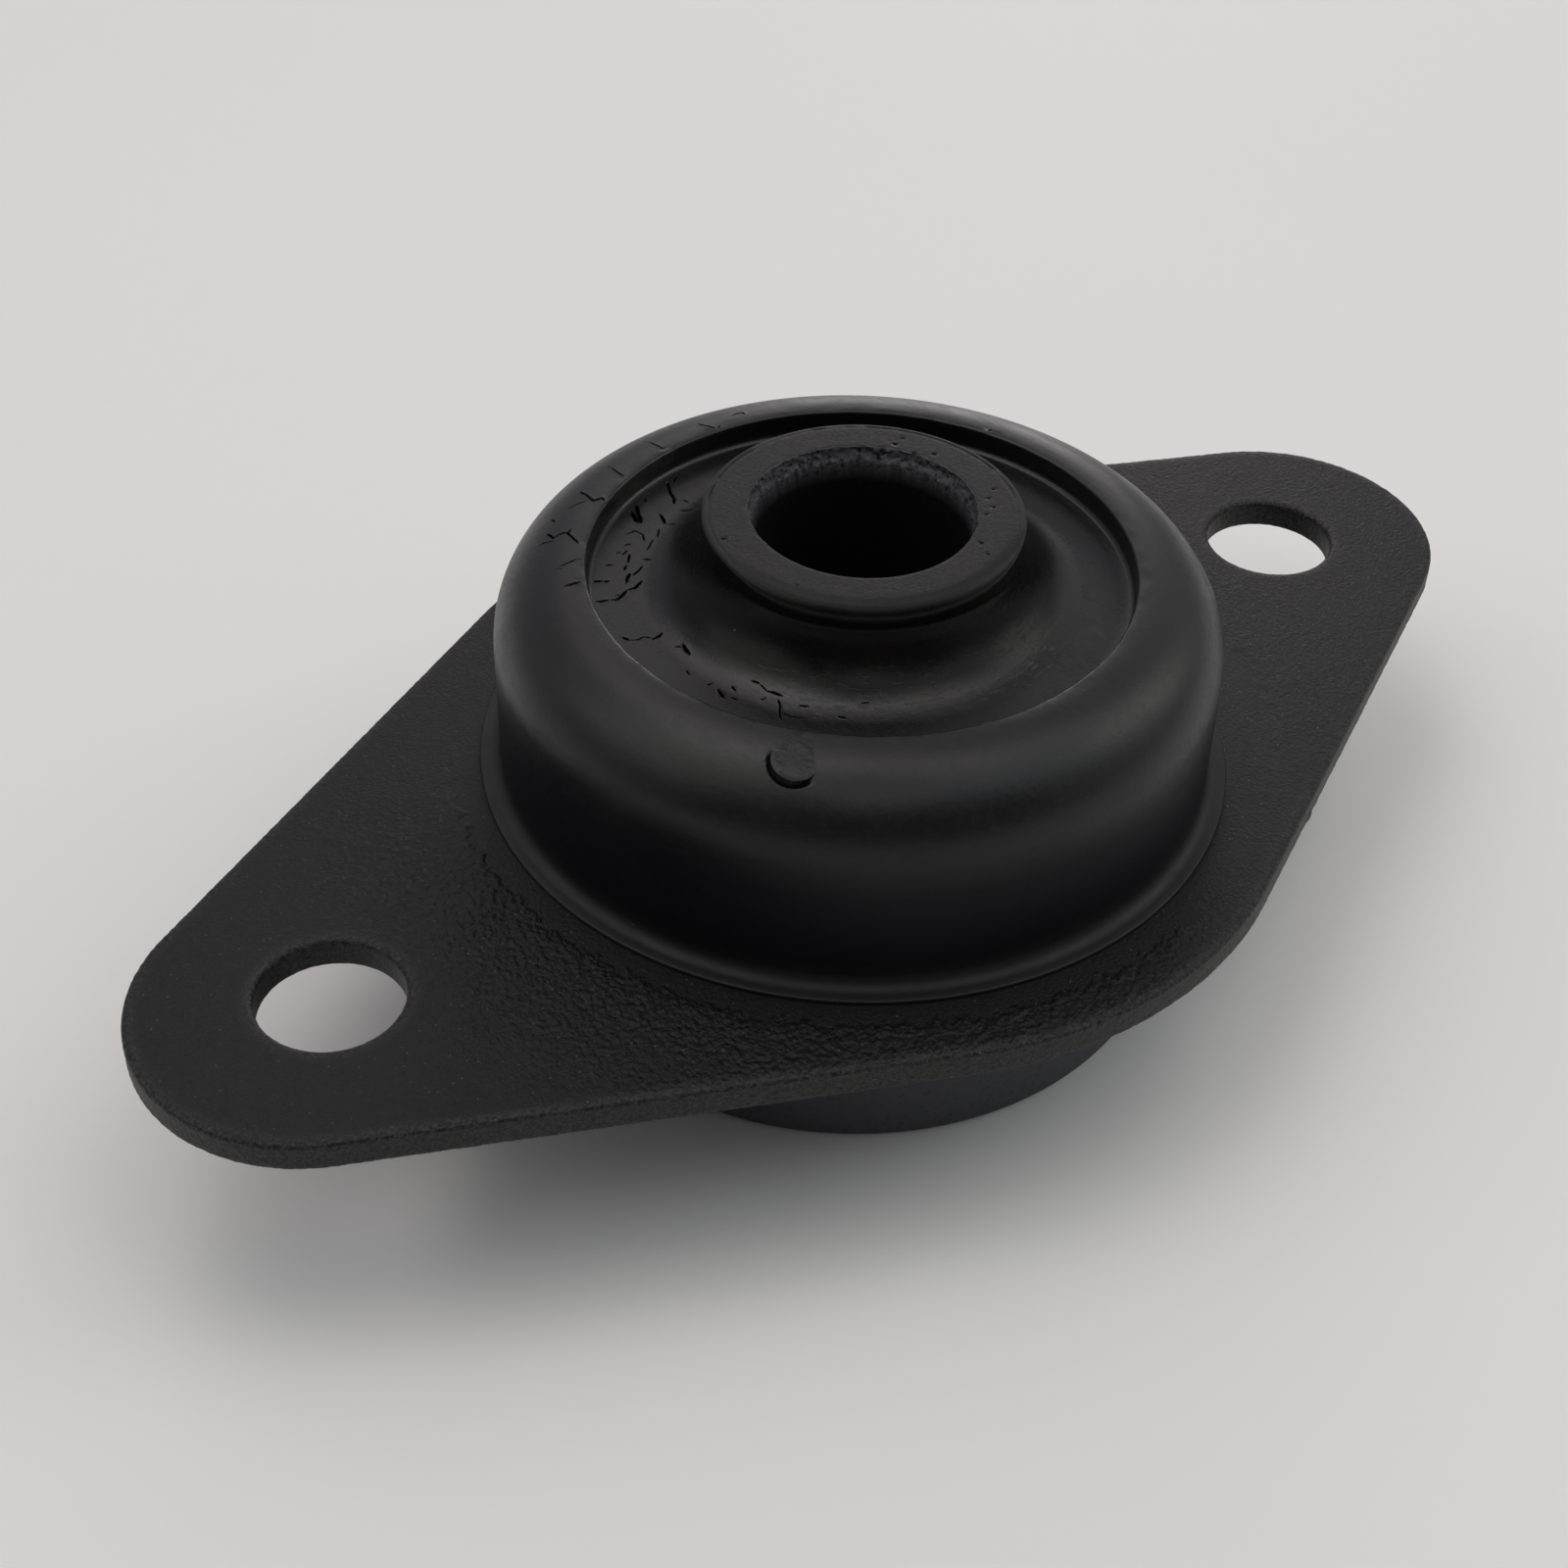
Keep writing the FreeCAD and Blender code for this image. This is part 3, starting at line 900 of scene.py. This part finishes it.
work_on(sleeve)
bpy.ops.object.mode_set(mode="EDIT")
pick(sleeve, faces=lambda f: f.normal.z > 0.7 and pit_depth(f.calc_center_median() / MM) > 0)
bpy.ops.mesh.subdivide(number_cuts=2)
bpy.ops.object.mode_set(mode="OBJECT")


def behind(place):
    """1 at the back of the bore, and -1 at its front."""
    return (place.x * 0.5 + place.y * 0.866) / place.xy.length


def mouth_open(place):
    """How far the bore's mouth is worn outwards: little at the front, most at the back."""
    back = behind(place)
    ragged = 0.1 * noise.noise(place * 1.6) + 0.07 * noise.noise(place * 4.2)
    opened = 0.05 + 0.6 * ramp(back, -0.75, 0.9) + ragged * ramp(back, -0.9, 0.2)
    return opened * ramp(place.z, 37.0, 38.5) * (1 - ramp(place.xy.length, 8.3, 9.9))


def face_relief(place):
    """Crusty paint in the mouth, and pits in the flat face."""
    if place.z < 36.8 or place.xy.length > 11.2:
        return 0
    in_mouth = (1 - ramp(place.z, 38.5, 38.74)) * ramp(place.z, 36.8, 37.4)
    thick = 0.07 + 0.1 * ramp(behind(place), -0.4, 0.6)
    lumpy = noise.noise(place * 1.8) + 0.8 * noise.noise(place * 4.4)
    return in_mouth * thick * lumpy - pit_depth(place)


for vertex in sleeve.data.vertices:
    if vertex.co.z > 36.9 * MM and vertex.co.xy.length < 10 * MM:
        vertex.co.xy += vertex.co.xy.normalized() * mouth_open(vertex.co / MM) * MM
sleeve.data.update()
crust_and_highlight_share, pit_share = [], []
for vertex in sleeve.data.vertices:
    x, y, z = vertex.co / MM
    pit_share.append(min(1.0, 6 * pit_depth(vertex.co / MM)) if z > 38 else 0.0)
    crust_and_highlight_share.append(ramp(z, 36.5, 37.2) * (1 - ramp(math.hypot(x, y), 8.6, 9.1)) if z < 38.74 else 0.0)
moved(sleeve, face_relief)
lowered(sleeve, worn_front)
store(sleeve, "mouth_crust", crust_and_highlight_share)
store(sleeve, "pit_share", pit_share)
dress(sleeve, "centre_sleeve", sleeve_paint, 40)


# Floor and light
select_nothing()
bpy.ops.mesh.primitive_plane_add(size=6, location=(0, 0, 0))
floor = bpy.context.object
floor.name = "floor"
floor.data.materials.append(floor_paint)


def soft_light(name, azimuth, elevation, size, power, tint):
    """Square lamp that looks at the mount from a direction given in degrees."""
    a, e = math.radians(azimuth), math.radians(elevation)
    lamp = bpy.data.lights.new(name, "AREA")
    lamp.shape = "SQUARE"
    lamp.size = size
    lamp.energy = power
    lamp.color = colour(tint)[:3]
    body = bpy.data.objects.new(name, lamp)
    bpy.context.scene.collection.objects.link(body)
    away = Vector((math.cos(a) * math.cos(e), math.sin(a) * math.cos(e), math.sin(e)))
    body.location = away * LAMP_DISTANCE
    body.rotation_euler = away.to_track_quat("Z", "Y").to_euler()


# Each lamp's direction, width in metres, power in watts and tint
for lamp in [
    ("high_back", 45, 74, 0.36, 0.20, "f8efff"),
    ("high_back_left", 105, 74, 0.36, 0.65, "fffbf4"),
    ("high_left", 165, 74, 0.36, 0.21, "fffdfe"),
    ("high_front", 229, 64, 0.36, 0.17, "fffdfa"),
    ("high_front_right", 285, 74, 0.36, 0.13, "fff1ef"),
    ("high_right", 345, 74, 0.36, 0.36, "fff1e5"),
    ("side_left", 155, 52, 0.85, 1.65, "fcfff6"),
    ("front", 240, 55, 0.36, 0.30, "fffdfa"),
    ("front_right", 280, 55, 0.36, 0.22, "d2e4ff"),
    ("side_right", 322, 52, 0.85, 1.15, "f6fffa"),
    ("back_left", 80, 55, 0.36, 0.42, "ffeff3"),
    ("low_right", 340, 33, 0.5, 0.80, "fbffee"),
    ("low_back_right", 20, 33, 0.36, 0.10, "fdfff4"),
    ("low_back_left", 60, 33, 0.36, 0.14, "fffaf6"),
    ("low_back", 45, 12, 0.36, 1.00, "fffafa"),
]:
    soft_light(*lamp)

# The room behind the camera is darker than the rest of it
world = bpy.data.worlds.new("room")
bpy.context.scene.world = world
world.use_nodes = True
add = partial(add_node, world)
away = add("TexCoord").outputs["Generated"]
camera_side = (-0.595, -0.684, 0.423)
facing = add("VectorMath", operation="DOT_PRODUCT", Vector=away, Vector_001=camera_side).outputs["Value"]
strength = add("MapRange", Value=facing, From_Min=0.3, From_Max=0.72, To_Min=0.325, To_Max=0.07)
set_node(world.node_tree.nodes["Background"], Color=colour("f9f6ff"), Strength=strength)
